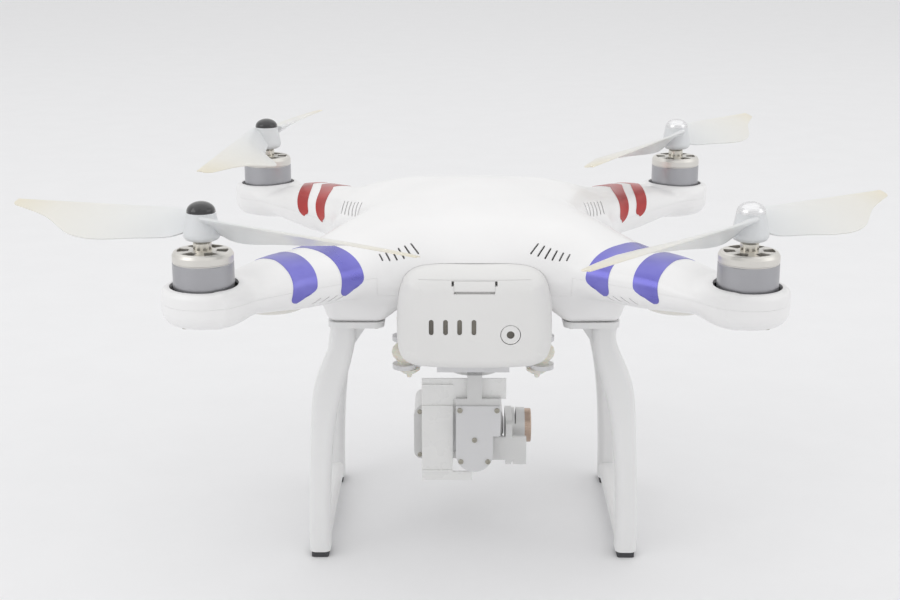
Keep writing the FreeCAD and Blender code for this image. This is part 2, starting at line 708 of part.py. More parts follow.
def plate_with_ears(z0, z1, core_x, core_y, ear_r):
    shapes = [slab_z(0, 0, z0, z1, core_x, core_y, 5)]
    reach = math.hypot(DAMPER_X, DAMPER_Y)
    for sx, sy in corners():
        ear = slab_z(DAMPER_X * sx, DAMPER_Y * sy, z0, z1, ear_r, ear_r, ear_r - 0.01)
        strap = box(0, reach, -4.2, 4.2, z0, z1)
        angle = math.degrees(math.atan2(DAMPER_Y * sy, DAMPER_X * sx))
        shapes.extend([ear, turned(strap, angle)])
    return fuse(shapes)


def make_gimbal_mount():
    z0, z1 = UPPER_PLATE_Z
    parts["gimbal_upper_plate"] = plate_with_ears(z0, z1, 24, 22, EAR_R)
    lower_z0, lower_z1 = LOWER_PLATE_Z
    lower = plate_with_ears(lower_z0, lower_z1, 19, 30, EAR_R)
    lip = box(-19, 19, -32, -29.5, lower_z0 - 2.6, lower_z1)
    lower = fuse([lower, lip])
    boss_hole = cyl(GIMBAL_X, YAW_Y, 90, 100, YAW_BOSS_R)
    parts["gimbal_lower_plate"] = lower.cut(boss_hole)
    gap = z0 - lower_z1
    dampers = []
    pins = []
    for sx, sy in corners():
        waist = revolve([(0, lower_z1), (3.6, lower_z1), (3.6, lower_z1 + 1.4), (6.0, lower_z1 + gap * 0.32),
                         (6.6, lower_z1 + gap * 0.5), (6.0, z0 - gap * 0.32), (3.6, z0 - 1.4), (3.6, z0),
                         (0, z0)])
        dampers.append(moved(waist, sx * DAMPER_X, sy * DAMPER_Y))
        pin = revolve([(0, lower_z0), (5.6, lower_z0), (5.6, lower_z0 - 1.0), (3.4, lower_z0 - 2.6),
                       (1.6, lower_z0 - 3.4), (1.2, lower_z0 - 5.0), (0, lower_z0 - 5.2)])
        pins.append(moved(pin, sx * DAMPER_X * 0.93, sy * DAMPER_Y))
    parts["gimbal_dampers"] = group(dampers)
    parts["anti_drop_pins"] = group(pins)
    bore = SHAFT_R + SHAFT_FIT
    stator_ring = revolve([(bore, 88.0), (12.0, 88.0), (12.0, lower_z0), (YAW_BOSS_R, lower_z0),
                           (YAW_BOSS_R, lower_z1), (bore, lower_z1)])
    parts["yaw_motor"] = moved(stator_ring, GIMBAL_X, YAW_Y)


def make_yaw_arm():
    """Rotor cup of the yaw motor with the arm that reaches back and down to the roll motor."""
    floor_z = YAW_MOTOR_Z + 2.4
    cup = revolve([(0, YAW_MOTOR_Z), (YAW_CUP_R, YAW_MOTOR_Z), (YAW_CUP_R, 94.6), (12.7, 94.6),
                   (12.7, floor_z), (SHAFT_R, floor_z), (SHAFT_R, 97.6), (0, 97.6)])
    cup = moved(cup, GIMBAL_X, YAW_Y)
    left = GIMBAL_X - COVER_R
    right = GIMBAL_X + CROWN_REACH
    face_y = ROLL_REAR_Y + 1.2
    back_y = ROLL_REAR_Y + 4.4
    boom = box(GIMBAL_X - 4, GIMBAL_X + 4, face_y, YAW_Y, YAW_MOTOR_Z, floor_z)
    stalk = box(GIMBAL_X - 4, GIMBAL_X + 4, face_y, back_y, AXIS_Z + 16, floor_z)
    crown = box(left, right, face_y, back_y, AXIS_Z + 9, CROWN_TOP_Z)
    parts["yaw_arm"] = fuse([cup, boom, stalk, crown])

    housing = cyl_y(GIMBAL_X, AXIS_Z, face_y, ROLL_REAR_Y + 5.2, ROLL_MOTOR_R)
    bearing = cyl_y(GIMBAL_X, AXIS_Z, ROLL_REAR_Y + 0.5, ROLL_REAR_Y + 6, 1.5 + SHAFT_FIT)
    crown_room = box(-20, 20, ROLL_REAR_Y, ROLL_REAR_Y + 6, AXIS_Z + 8.99, AXIS_Z + 30)
    parts["roll_motor"] = housing.cut(bearing).cut(crown_room)

    upper = box(left, right, ROLL_REAR_Y, face_y, COVER_STEP_Z, COVER_TOP_Z)
    lower = box(left, GIMBAL_X + COVER_R, ROLL_REAR_Y, face_y, COVER_ROUND_Z, COVER_STEP_Z)
    round_end = cyl_y(GIMBAL_X, COVER_ROUND_Z, ROLL_REAR_Y, face_y, COVER_R)
    parts["roll_motor_cover"] = fuse([upper, lower, round_end])
    spots = [(-7.9, 67.8), (12.0, 67.8), (-7.3, 38.6), (7.3, 38.6), (0, AXIS_Z)]
    parts["roll_cover_screws"] = group([
        pan_screw(GIMBAL_X + dx, ROLL_REAR_Y, z, Vector(0, -1, 0), head_r=1.4, shank=1.0)
        for dx, z in spots])

    sheet_y0 = back_y
    sheet_y1 = sheet_y0 + 1.0
    strip_x = GIMBAL_X - ROLL_MOTOR_R - 2.0
    sheet = []
    sheet.append(box(GUARD_LEFT_X, strip_x, sheet_y0, sheet_y1, GUARD_BOTTOM_Z, GUARD_TOP_Z))
    sheet.append(box(GUARD_LEFT_X, GUARD_RIGHT_X, sheet_y0, sheet_y1, CROWN_TOP_Z - 1, GUARD_TOP_Z))
    sheet.append(box(GUARD_LEFT_X, 0.0, sheet_y0, sheet_y1, GUARD_BOTTOM_Z, GUARD_BOTTOM_Z + 5))
    for z in GUARD_RIB_Z:
        sheet.append(box(GUARD_LEFT_X, strip_x, sheet_y0 - 0.9, sheet_y0 + 0.2, z, z + 1.2))
    parts["gimbal_guard"] = fuse(sheet)


def make_roll_arm():
    """Frame that turns about the roll axis and carries the pitch motor."""
    y0 = ROLL_REAR_Y + 5.6
    rotor = cyl_y(GIMBAL_X, AXIS_Z, y0, y0 + 2.4, ROLL_MOTOR_R)
    pin = cyl_y(GIMBAL_X, AXIS_Z, ROLL_REAR_Y + 1.6, y0, 1.5)
    back = box(GIMBAL_X, 29.2, y0, y0 + 2.4, 37.5, 50.6)
    side = slab_x(0, PITCH_Z - 1.2, 18.0, 21.5, 14.6, 12.0, 3)
    side = moved(side, 0, y0 + 14.6)
    foot = box(18.0, 29.2, y0, y0 + 9, 35.0, 48.0)
    foot = foot.cut(box(21.0, 22.0, y0 - 1, y0 + 10, 34.0, 38.4))
    parts["roll_arm"] = fuse([rotor, pin, back, side, foot])
    motor = cyl_x(PITCH_Y, PITCH_Z, 21.5, 29.0, 10.0)
    slot = box(23.4, 24.2, PITCH_Y - 12, PITCH_Y + 12, PITCH_Z + 4, PITCH_Z + 12)
    parts["pitch_motor"] = motor.cut(slot).cut(parts["roll_arm"])
    lid = cyl_x(PITCH_Y, PITCH_Z, 29.0, 32.6, 9.4)
    lid = lid.makeFillet(0.7, [e for e in lid.Edges if e.BoundBox.XMin > 32.5])
    parts["pitch_motor_cap"] = lid


def camera_block(grow, x0, x1):
    """Camera body grown by a margin: rounded seen from the side and from behind."""
    side = slab_x(PITCH_Y, CAMERA_Z, x0, x1,
                  CAMERA_HALF_Y + grow, CAMERA_HALF_Z + grow, CAMERA_EDGE_R + grow)
    mid_x = (x0 + x1) / 2
    behind = slab_y(mid_x, CAMERA_Z, PITCH_Y - CAMERA_HALF_Y - grow, PITCH_Y + CAMERA_HALF_Y + grow,
                    (x1 - x0) / 2, CAMERA_HALF_Z + grow, CAMERA_CORNER_R + grow)
    return side.common(behind)


def make_camera():
    case = camera_block(0, CAMERA_LEFT_X, CAMERA_RIGHT_X)
    room = camera_block(-2.0, CAMERA_LEFT_X + 2, CAMERA_RIGHT_X - 2)
    front = PITCH_Y + CAMERA_HALF_Y
    rear = PITCH_Y - CAMERA_HALF_Y
    lens_x = CAMERA_LEFT_X + 22
    bore = cyl_y(lens_x, CAMERA_Z, front - 4, front + 4, 10.1)
    plate_x = (CAMERA_LEFT_X + CAMERA_RIGHT_X) / 2
    plate_half = (CAMERA_RIGHT_X - CAMERA_LEFT_X) / 2 - 4.6
    window = slab_y(plate_x, CAMERA_Z, rear - 1, rear + 1.2, plate_half + 0.1, 10.6, 2)
    case = case.cut(room).cut(bore).cut(window)
    pivot = cyl_x(PITCH_Y, PITCH_Z, CAMERA_RIGHT_X, 17.4, 5.0)
    parts["camera_case"] = fuse([case, pivot])
    parts["camera_back_plate"] = slab_y(plate_x, CAMERA_Z, rear + 0.4, rear + 1.2, plate_half, 10.5, 2)
    screws = []
    for dz in (-12.4, 12.4):
        for x in (CAMERA_LEFT_X + 3.2, CAMERA_RIGHT_X - 3.2):
            screws.append(pan_screw(x, rear + 0.2, CAMERA_Z + dz, Vector(0, -1, 0), head_r=1.3,
                                    head_h=0.8, shank_r=0.5, shank=0.8))
    parts["camera_screws"] = group(screws)
    board = box(CAMERA_LEFT_X + 5, CAMERA_RIGHT_X - 4, rear + 9, rear + 10.2, CAMERA_Z - 11, CAMERA_Z + 11)
    sensor = box(lens_x - 5, lens_x + 5, rear + 10.2, rear + 12, CAMERA_Z - 4, CAMERA_Z + 4)
    parts["camera_board"] = fuse([board, sensor])
    barrel = revolve([(7.6, 0), (10.0, 0), (10.0, 11), (9.4, 12), (7.6, 12), (7.6, 10.6), (8.2, 10.6),
                      (8.2, 9.0), (7.6, 9.0)])
    barrel = moved(turned(barrel, -90, X_AXIS), lens_x, front - 6, CAMERA_Z)
    parts["lens_barrel"] = barrel
    glass = revolve([(0, 8.8), (7.5, 8.8), (7.5, 9.4), (4.0, 10.3), (0, 10.6)])
    parts["lens_glass"] = moved(turned(glass, -90, X_AXIS), lens_x, front - 6, CAMERA_Z)


make_hull()
make_arm_lights()
make_stripes()
make_skids()
make_battery()
make_bay_and_boards()
make_motors()
make_gimbal_mount()
make_yaw_arm()
make_roll_arm()
make_camera()

os.makedirs("parts", exist_ok=True)
for node, shape in parts.items():
    shape.exportStep(f"parts/{node}.step")
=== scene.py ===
"""Quadcopter drone: the finished look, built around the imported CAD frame.

Lengths in the tables are millimetres in the row frame: the origin is on the ground midway between the four
motor axes, +Y is the drone's front and +Z is up. MM turns them into metres where a mesh is made.
"""

import json
import math

import bmesh
import bpy
import numpy as np
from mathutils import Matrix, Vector


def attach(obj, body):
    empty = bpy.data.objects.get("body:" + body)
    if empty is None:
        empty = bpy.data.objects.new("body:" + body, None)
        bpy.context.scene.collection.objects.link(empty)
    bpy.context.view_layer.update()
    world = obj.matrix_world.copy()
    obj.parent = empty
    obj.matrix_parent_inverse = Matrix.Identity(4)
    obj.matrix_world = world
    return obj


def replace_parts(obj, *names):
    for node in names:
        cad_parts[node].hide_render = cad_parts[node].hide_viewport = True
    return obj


MM = 0.001
ROOT2 = math.sqrt(2.0)

# Hull
SEAM_Z = 157.5
MOTOR_REACH = 123.75 * ROOT2
BODY_RADIUS = 82.0
BODY_WAIST = (63.0, 45.0)     # half width at the waist, and how far along Y the waist reaches
BODY_UP, BODY_DOWN = 30.4, 20.0
TUB = (38.5, 58.5, 26.5)
TUB_CENTRE = (0.0, 1.5, 140.0)
SHOULDER_AT = (59.0, 52.0)
SHOULDER_BOTTOM_Z = 129.4
POD_RADIUS = 19.5
POD_UP, POD_DOWN = 7.0, 10.5
WELL_RADIUS = 15.8
RING_Z = 175.6                # where the motor bells' pale upper ring begins
WALL = 1.8
GRID_STEP = 1.3
SEAM_GAP = 0.03
STEP_X, STEP_Y, STEP_Z = 47.0, -50.0, 147.0

# (distance from the centre along the arm, value): half width, height above and depth below the seam
ARM_HALF_WIDTH = [(30, 34), (72, 29), (100, 24.5), (125, 21), (145, 18.6), (165, 17.5), (200, 17.5)]
ARM_RISE = [
    (0, 5), (30, 8), (45, 14.6), (58, 18.2), (72, 18.2), (85, 16.0),
    (100, 13.8), (110, 12.8), (120, 12.6), (130, 12.4), (142, 10.6), (150, 8.2), (160, 5.0), (200, 3.0),
]
ARM_DEPTH = [(0, 12), (60, 13), (100, 13.5), (125, 13.2), (145, 11.0), (165, 9), (200, 8)]

# Vent slots: (top end, step of the top, bottom end, step of the bottom), count per flank
REAR_VENTS = ((31.1, -72.7), (3.0, -1.15), (27.0, -76.5), (3.44, -0.8), 6)
VENT_WIDTH = 0.9

# Arm slots, per slot: (place along the arm, angle from straight up) of one end, then of the other, in degrees
FRONT_VENTS = [((55.0 + 4.0 * k, 60.0), (49.0 + 3.7 * k, 74.0)) for k in range(6)]
UNDER_VENTS = [((109.0 + 4.6 * k, -102.0), (112.5 + 4.6 * k, -113.0)) for k in range(4)]
UNDER_VENT_WIDTH = 0.6

# Sticker bands per end of the drone, inner then outer: span along the arm at the ridge, and at the rear-facing end
BANDS = {
    "rear": (((101.0, 110.5), (99.5, 112.5)), ((121.5, 134.5), (126.0, 140.0))),
    "front": (((113.5, 124.0), (89.0, 97.5)), ((131.5, 140.0), (107.5, 117.5))),
}
BAND_END_ANGLE = {"rear": (99.0, 6.0), "front": (89.0, 2.0)}    # angle from straight up, and its slant
BAND_CORNER = 4.0
BAND_PROUD = 0.2

# Arm lights: place along the arm, half length, half width as an angle, and bulge below the hull
LENS_REACH = 134.0
LENS_HALF = 17.5
LENS_HALF_ANGLE = 0.62
LENS_RISE = 2.6

# Battery cap: right half of its outline as (x, z), seen from behind
CAP_OUTLINE = [
    (0.0, 164.0), (10.0, 163.9), (20.0, 163.5), (28.4, 162.2), (33.8, 158.6), (36.4, 151.8), (37.5, 144.0),
    (37.8, 136.0), (37.8, 128.0), (37.3, 121.4), (35.2, 117.0), (30.0, 114.3), (21.6, 113.3), (10.0, 112.9),
    (0.0, 112.8),
]
CAP_FRONT_Y, CAP_REAR_Y = -58.0, -90.0
CAP_ROUND_TOP, CAP_ROUND_SIDE, CAP_ROUND_BOTTOM = 12.0, 9.0, 5.0
CAP_GAP = 0.06
CASE_SLOT = (35.0, 117.0, 160.0, 53.0)
BUTTON_AT, BUTTON_RADIUS = (17.4, 130.8), 4.7
LED_X = (-20.9, -14.0, -7.2, -0.3)
LED_Z, LED_SIZE = 134.5, (2.1, 7.5)
LATCH_X, LATCH_HALF = -0.1, 9.8
LATCH_Z = (152.4, 157.2)
NOTCH = (1.1, 2.4)            # width and height of the dark notch at each end of the latch
PARTING_Z = 157.7
PARTING_HALF = 27.0
LATCH_BACK_Y = -88.0          # the latch pad is a thin plate, so its seat stays shallow
PRESS_ROOM = 1.35             # room for the latch and the button to move into


# ---------------------------------------------------------------- mesh helpers


def make_object(name, mesh):
    piece = bpy.data.objects.new(name, mesh)
    bpy.context.scene.collection.objects.link(piece)
    return piece


def mesh_piece(name, points, faces):
    """Mesh object from points in millimetres."""
    mesh = bpy.data.meshes.new(name)
    mesh.from_pydata((np.asarray(points, float) * MM).tolist(), [], [tuple(map(int, f)) for f in faces])
    mesh.validate()
    return make_object(name, mesh)


def closed_piece(name, points, faces):
    """Closed mesh whose faces all look outwards."""
    piece = mesh_piece(name, points, faces)
    form = bmesh.new()
    form.from_mesh(piece.data)
    bmesh.ops.recalc_face_normals(form, faces=form.faces)
    form.to_mesh(piece.data)
    form.free()
    return piece


def apply_modifiers(piece):
    graph = bpy.context.evaluated_depsgraph_get()
    mesh = bpy.data.meshes.new_from_object(piece.evaluated_get(graph))
    piece.modifiers.clear()
    piece.data = mesh


def combine(piece, other, operation, solver="MANIFOLD", keep=False):
    """Boolean of piece with other, which is removed unless it is kept."""
    modifier = piece.modifiers.new("cut", "BOOLEAN")
    modifier.operation = operation
    modifier.solver = solver
    modifier.object = other
    apply_modifiers(piece)
    if not keep:
        bpy.data.objects.remove(other)


def smooth(piece, angle=35.0):
    """Smooth shading, with edges sharper than the angle kept crisp."""
    form = bmesh.new()
    form.from_mesh(piece.data)
    for face in form.faces:
        face.smooth = True
    for edge in form.edges:
        edge.smooth = len(edge.link_faces) == 2 and edge.calc_face_angle(0.0) < math.radians(angle)
    form.to_mesh(piece.data)
    form.free()


def shade_by_field(piece, field, near=0.04):
    """Faces that lie on the field's surface take their shading from its slope, the others keep their own."""
    smooth(piece)
    mesh = piece.data
    points = np.empty(3 * len(mesh.vertices))
    mesh.vertices.foreach_get("co", points)
    points = points.reshape(-1, 3) / MM
    on_surface = np.abs(field(*points.T)) < near
    out = slope_of(field, points)
    out /= np.linalg.norm(out, axis=1)[:, None]
    corner = np.empty(len(mesh.loops), dtype=np.int32)
    mesh.loops.foreach_get("vertex_index", corner)
    starts = np.empty(len(mesh.polygons), dtype=np.int32)
    counts = np.empty(len(mesh.polygons), dtype=np.int32)
    mesh.polygons.foreach_get("loop_start", starts)
    mesh.polygons.foreach_get("loop_total", counts)
    flush = np.repeat(np.logical_and.reduceat(on_surface[corner], starts), counts)
    normals = np.empty(3 * len(mesh.loops), dtype=np.float32)
    mesh.corner_normals.foreach_get("vector", normals)
    normals = normals.reshape(-1, 3)
    normals[flush] = out[corner[flush]]
    mesh.normals_split_custom_set(normals.tolist())


def duplicate(piece, name):
    copy = piece.copy()
    copy.data = piece.data.copy()
    copy.name = name
    bpy.context.scene.collection.objects.link(copy)
    return copy


def swept_faces(count):
    """Faces of a solid made of two equal loops of points, one after the other."""
    sides = [(i, (i + 1) % count, count + (i + 1) % count, count + i) for i in range(count)]
    return sides + [tuple(range(count))[::-1], tuple(range(count, 2 * count))]


def prism(name, outline, low, high, axis="z"):
    """Closed prism: outline is (a, b) pairs, swept from low to high along the axis."""
    order = {"x": (2, 0, 1), "y": (0, 2, 1), "z": (0, 1, 2)}[axis]
    count = len(outline)
    points = np.array([(a, b, low) for a, b in outline] + [(a, b, high) for a, b in outline], float)
    points = points[:, order]
    faces = swept_faces(count)
    return closed_piece(name, points, faces)


def block(name, low, high):
    outline = [(low[0], low[1]), (high[0], low[1]), (high[0], high[1]), (low[0], high[1])]
    return prism(name, outline, low[2], high[2])


def circle(centre, radius, count=48):
    turn = [2.0 * math.pi * i / count for i in range(count)]
    return [(centre[0] + radius * math.cos(t), centre[1] + radius * math.sin(t)) for t in turn]


def joined(name, parts):
    """Several separate closed meshes as one object."""
    form = bmesh.new()
    for part in parts:
        form.from_mesh(part.data)
        bpy.data.objects.remove(part)
    mesh = bpy.data.meshes.new(name)
    form.to_mesh(mesh)
    form.free()
    return make_object(name, mesh)


def dress(piece, body, slot, *nodes):
    """The piece rides a body, takes its slot's finish and stands for CAD nodes."""
    piece.data.materials.clear()
    piece.data.materials.append(FINISHES[slot])
    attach(piece, body)
    if nodes:
        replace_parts(piece, *nodes)
    return piece


# ---------------------------------------------------------------- hull form


def eased(stations, reach):
    """Smooth curve through stations, as a function of distance."""
    where = np.arange(-40.0, 260.0, 1.0)
    table = np.array(stations, float)
    values = np.interp(where, table[:, 0], table[:, 1])
    weights = np.hanning(int(2 * reach) + 1)
    weights /= weights.sum()
    values = np.convolve(np.pad(values, len(weights) // 2, mode="edge"), weights, mode="valid")
    return lambda distance: np.interp(distance, where, values)


arm_half_width = eased(ARM_HALF_WIDTH, 9.0)
arm_rise = eased(ARM_RISE, 6.0)
arm_depth = eased(ARM_DEPTH, 9.0)


def merged(first, second, blend):
    """Union of two distance fields with a fillet."""
    near = np.maximum(blend - np.abs(first - second), 0.0) / blend
    return np.minimum(first, second) - near * near * blend * 0.25


def super_oval(a, b, radius_a, radius_b, power):
    a = np.abs(a) / radius_a
    b = np.abs(b) / radius_b
    level = (a**power + b**power) ** (1.0 / power) + 1e-9
    slope_a = level ** (1.0 - power) * a ** (power - 1.0) / radius_a
    slope_b = level ** (1.0 - power) * b ** (power - 1.0) / radius_b
    return (level - 1.0) / np.sqrt(slope_a**2 + slope_b**2 + 1e-7)


def soft_box(offsets, halves, radius):
    inner = [np.abs(o) - h + radius for o, h in zip(offsets, halves)]
    outside = np.sqrt(sum(np.maximum(i, 0.0) ** 2 for i in inner))
    return outside + np.minimum(np.maximum.reduce(inner), 0.0) - radius


def hull_field(x, y, z):
    """Distance to the outside of the hull, negative inside, in millimetres."""
    wide, long = np.abs(x), np.abs(y)
    along = (wide + long) / ROOT2
    across = (wide - long) / ROOT2
    height = z - SEAM_Z
    above = height > 0.0
    squeeze = 1.0 + (BODY_RADIUS / BODY_WAIST[0] - 1.0) * np.exp(-((long / BODY_WAIST[1]) ** 2))
    radius = np.hypot(x * squeeze, y)
    body = super_oval(
        radius, height, BODY_RADIUS, np.where(above, BODY_UP, BODY_DOWN), np.where(above, 2.1, 3.0)
    )
    arm = super_oval(
        across, height, arm_half_width(along), np.where(above, arm_rise(along), arm_depth(along)), 2.3
    )
    arm = np.maximum(arm, along - MOTOR_REACH)
    arm = np.where(along < 30.0, np.maximum(arm, 30.0 - along), arm)
    form = merged(body, arm, 20.0)
    rise = np.maximum(z - SHOULDER_BOTTOM_Z, 0.0)
    shoulder = soft_box(
        (
            wide - SHOULDER_AT[0] + 0.25 * rise,
            long - SHOULDER_AT[1] + 0.25 * rise,
            z - SHOULDER_BOTTOM_Z - 16.6,
        ),
        (14.0 + 0.3 * rise, 12.0 + 0.3 * rise, 16.6),
        4.5,
    )
    form = merged(form, shoulder, 14.0)
    tub = soft_box((x - TUB_CENTRE[0], y - TUB_CENTRE[1], z - TUB_CENTRE[2]), TUB, 12.0)
    form = merged(form, tub, 5.0)
    pod_round = np.where(above, 3.2, 7.0)
    side = np.hypot(along - MOTOR_REACH, across) - POD_RADIUS + pod_round
    end = np.where(above, height - POD_UP, -height - POD_DOWN) + pod_round
    pod = np.hypot(np.maximum(side, 0.0), np.maximum(end, 0.0)) - pod_round
    pod = pod + np.minimum(np.maximum(side, end), 0.0)
    return merged(form, pod, 7.0)


def slope_of(field, points, reach=0.15):
    columns = []
    for axis in range(3):
        step = np.zeros(3)
        step[axis] = reach
        ahead = field(*(points + step).T)
        behind = field(*(points - step).T)
        columns.append((ahead - behind) / (2.0 * reach))
    return np.stack(columns, -1)


def settle(field, points, level=0.0, rounds=4):
    """Moves points onto the surface where the field has that level."""
    for _ in range(rounds):
        slope = slope_of(field, points)
        value = field(*points.T) - level
        step = value[:, None] * slope / np.maximum((slope**2).sum(1), 1e-3)[:, None]
        points = points - np.clip(step, -1.0, 1.0)
    return points


def net_surface(field, level, low, high, step):
    """Points and quads of the field's level surface, one point to each crossed grid cell."""
    axes = [np.arange(low[i], high[i] + step, step) for i in range(3)]
    values = field(*np.meshgrid(*axes, indexing="ij")) - level
    solid = values < 0.0
    cells = [n - 1 for n in solid.shape]
    total = np.zeros(cells, int)
    for corner in np.ndindex(2, 2, 2):
        total += solid[tuple(slice(c, c + n) for c, n in zip(corner, cells))]
    crossed = (total > 0) & (total < 8)
    number = -np.ones(cells, int)
    number[crossed] = np.arange(crossed.sum())
    places = np.argwhere(crossed)
    points = np.stack([axes[i][places[:, i]] + step / 2.0 for i in range(3)], -1)
    quads = []
    for axis in range(3):
        one, two = [(1, 2), (2, 0), (0, 1)][axis]
        behind = np.take(solid, range(solid.shape[axis] - 1), axis)
        ahead = np.take(solid, range(1, solid.shape[axis]), axis)
        for leaving in (True, False):
            change = (behind & ~ahead) if leaving else (~behind & ahead)
            edge = np.argwhere(change)
            ring = []
            for a, b in ((-1, -1), (0, -1), (0, 0), (-1, 0)):
                cell = edge.copy()
                cell[:, one] += a
                cell[:, two] += b
                ring.append(number[tuple(cell.T)])
            quads.append(np.stack(ring if leaving else ring[::-1], -1))
    quads = np.concatenate(quads)
    for _ in range(4):
        points = settle(field, relaxed(points, quads), level, 2)
    return settle(field, points, level, 3), quads


def relaxed(points, quads):
    """Each point moved to the middle of its neighbours."""
    total = np.zeros_like(points)
    count = np.zeros(len(points))
    for a, b in ((0, 1), (1, 2), (2, 3), (3, 0)):
        for one, two in ((a, b), (b, a)):
            np.add.at(total, quads[:, one], points[quads[:, two]])
            np.add.at(count, quads[:, one], 1.0)
    return total / np.maximum(count, 1.0)[:, None]


def make_hull_shell():
    """The hull's wall as one hollow closed mesh, before it is parted and pierced."""
    low, high = (-147.0, -147.0, 108.0), (147.0, 147.0, 192.0)
    outside, outer_faces = net_surface(hull_field, 0.0, low, high, GRID_STEP)
    inside, inner_faces = net_surface(hull_field, -WALL, low, high, GRID_STEP)
    points = np.concatenate([outside, inside])
    faces = np.concatenate([outer_faces, inner_faces[:, ::-1] + len(outside)])
    return mesh_piece("hull_shell", points, faces)


def top_region(name, gap):
    """Space that belongs to the top shell: above the seam, and lower beside the battery."""
    upper = block(name, (-160.0, -160.0, SEAM_Z + gap), (160.0, 160.0, 230.0))
    skirt = block("skirt", (-STEP_X + gap, -130.0, STEP_Z + gap), (STEP_X - gap, STEP_Y - gap, 200.0))
    combine(upper, skirt, "UNION")
    return upper


def cap_outline(offset=0.0):
    """Closed smooth outline of the battery cap as (x, z), moved outwards by the offset."""
    right = np.array(CAP_OUTLINE, float)
    loop = np.concatenate([right, (right * (-1, 1))[-2:0:-1]])
    for _ in range(3):
        following = np.roll(loop, -1, axis=0)
        loop = np.stack([0.75 * loop + 0.25 * following, 0.25 * loop + 0.75 * following], 1).reshape(-1, 2)
    tangent = np.roll(loop, -1, axis=0) - np.roll(loop, 1, axis=0)
    normal = np.stack([-tangent[:, 1], tangent[:, 0]], -1)
    normal /= np.linalg.norm(normal, axis=1)[:, None]
    return loop + normal * offset, normal


def motor_centres():
    half = MOTOR_REACH / ROOT2
    return [(sx * half, sy * half) for sx in (-1, 1) for sy in (-1, 1)]


def hull_height(x, y):
    """Top of the hull over a point."""
    heights = np.linspace(200.0, SEAM_Z, 600)
    inside = hull_field(np.full_like(heights, x), np.full_like(heights, y), heights) < 0.0
    return heights[np.argmax(inside)]


def surface_point(direction, along, angle):
    """Hull surface point seen from the arm's centre line at that angle from straight up."""
    start = np.array([direction[0] * along / ROOT2, direction[1] * along / ROOT2, SEAM_Z - 1.0])
    across = np.array([direction[0], -direction[1], 0.0]) / ROOT2
    ray = across * math.sin(angle) + np.array([0.0, 0.0, math.cos(angle)])
    reach = np.linspace(2.0, 45.0, 260)
    line = start + reach[:, None] * ray
    outside = hull_field(*line.T) > 0.0
    return line[np.argmax(outside)]


def slot_cutter(first, second, width):
    """A slot with round ends, standing square to the hull between two points on it."""
    middle = (first + second) / 2.0
    out = slope_of(hull_field, middle[None])[0]
    run = second - first
    length = np.linalg.norm(run)
    run = run / length
    out = out - run * (out @ run)
    out /= np.linalg.norm(out)
    across = np.cross(run, out)
    half = width / 2.0
    straight = max(length / 2.0 - half, 0.1)
    outline = []
    for end, start in ((1, -90), (-1, 90)):
        for turn in range(0, 181, 30):
            angle = math.radians(start + turn)
            outline.append((end * straight + half * math.cos(angle), half * math.sin(angle)))
    points = [middle + run * a + across * b + out * c for c in (-4.0, 4.0) for a, b in outline]
    count = len(outline)
    faces = swept_faces(count)
    return closed_piece("slot", points, faces)


def rear_vent_cutters():
    """Slots on the rear of the dome, either side of the battery."""
    top, top_step, bottom, bottom_step, count = REAR_VENTS
    cutters = []
    for mirror in (-1, 1):
        for k in range(count):
            ends = []
            for end, step in ((top, top_step), (bottom, bottom_step)):
                x, y = mirror * (end[0] + k * step[0]), end[1] + k * step[1]
                ends.append(np.array([x, y, hull_height(x, y)]))
            cutters.append(slot_cutter(*ends, VENT_WIDTH))
    return cutters


def arm_vent_cutters(slots, y_sign, width):
    cutters = []
    for mirror in (-1, 1):
        for slot in slots:
            ends = [surface_point((mirror, y_sign), along, math.radians(angle)) for along, angle in slot]
            cutters.append(slot_cutter(*ends, width))
    return cutters


def make_hull():
    """Top and bottom shells, parted at the seam and pierced for motors, battery and vents."""
    shell = make_hull_shell()
    wells = joined("wells", [prism("well", circle(c, WELL_RADIUS), 149.0, 200.0) for c in motor_centres()])
    combine(shell, wells, "DIFFERENCE")
    outline, _ = cap_outline(CAP_GAP)
    combine(shell, prism("cap_opening", outline.tolist(), -130.0, CAP_FRONT_Y, "y"), "DIFFERENCE")
    half, low, high, front = CASE_SLOT
    combine(shell, block("case_opening", (-half, CAP_FRONT_Y - 0.5, low), (half, front, high)), "DIFFERENCE")
    bottom = duplicate(shell, "bottom_hull_shell")
    combine(shell, top_region("top_side", SEAM_GAP), "INTERSECT")
    combine(bottom, top_region("top_side", -SEAM_GAP), "DIFFERENCE")
    upper_slots = rear_vent_cutters() + arm_vent_cutters(FRONT_VENTS, 1, VENT_WIDTH)
    combine(shell, joined("upper_slots", upper_slots), "DIFFERENCE")
    under_slots = arm_vent_cutters(UNDER_VENTS, -1, UNDER_VENT_WIDTH)
    combine(bottom, joined("under_slots", under_slots), "DIFFERENCE")
    shell.name = "top_hull_shell"
    for piece, node in ((shell, "top_shell"), (bottom, "bottom_shell")):
        shade_by_field(piece, hull_field)
        dress(piece, "airframe", "hull_white", node)


# ---------------------------------------------------------------- sticker bands


def facing_out(piece, centre):
    """Turns a sheet's faces away from a point inside."""
    form = bmesh.new()
    form.from_mesh(piece.data)
    bmesh.ops.recalc_face_normals(form, faces=form.faces)
    form.faces.ensure_lookup_table()
    sample = form.faces[len(form.faces) // 2]
    if sample.normal.dot(sample.calc_center_median() - Vector(centre) * MM) < 0.0:
        bmesh.ops.reverse_faces(form, faces=form.faces)
    form.to_mesh(piece.data)
    form.free()


def thickened(piece, thickness):
    skin = piece.modifiers.new("skin", "SOLIDIFY")
    skin.thickness = thickness * MM
    skin.offset = -1.0
    apply_modifiers(piece)


